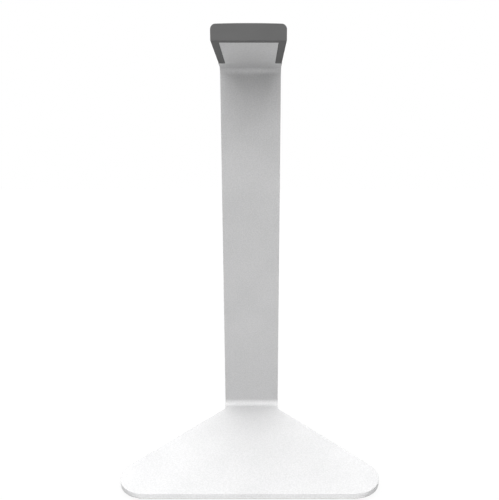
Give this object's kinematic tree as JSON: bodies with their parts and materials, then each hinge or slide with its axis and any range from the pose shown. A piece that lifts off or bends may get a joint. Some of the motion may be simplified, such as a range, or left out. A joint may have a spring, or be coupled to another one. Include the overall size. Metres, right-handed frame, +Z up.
{
  "type": "headphone stand",
  "caption": "Desktop headphone stand: bent metal strip with a flared base plate and a short arm under a soft grey sleeve.",
  "frame": {"origin": "on the surface that the stand rests on, under the middle of its bounding box", "axes": "+Z up; the base's front edge and the arm's free end face -Y; the upright is at the back, towards +Y; +X is to the right seen from the front"},
  "size_m": [0.1514, 0.1076, 0.2535],
  "materials": {
    "satin_aluminium": "fine bead-blasted and clear anodised, satin",
    "grey_silicone": "smooth matte moulded silicone",
    "grey_rubber": "matte",
    "adhesive": "translucent double-sided tape"
  },
  "bodies": {
    "root": {"frame": "satin_aluminium", "head_cover": "grey_silicone", "cover_tape": "adhesive", "foot_front_left": "grey_rubber", "foot_front_right": "grey_rubber", "foot_rear_left": "grey_rubber", "foot_rear_right": "grey_rubber", "foot_tape_front_left": "adhesive", "foot_tape_front_right": "adhesive", "foot_tape_rear_left": "adhesive", "foot_tape_rear_right": "adhesive"}
  },
  "joints": []
}
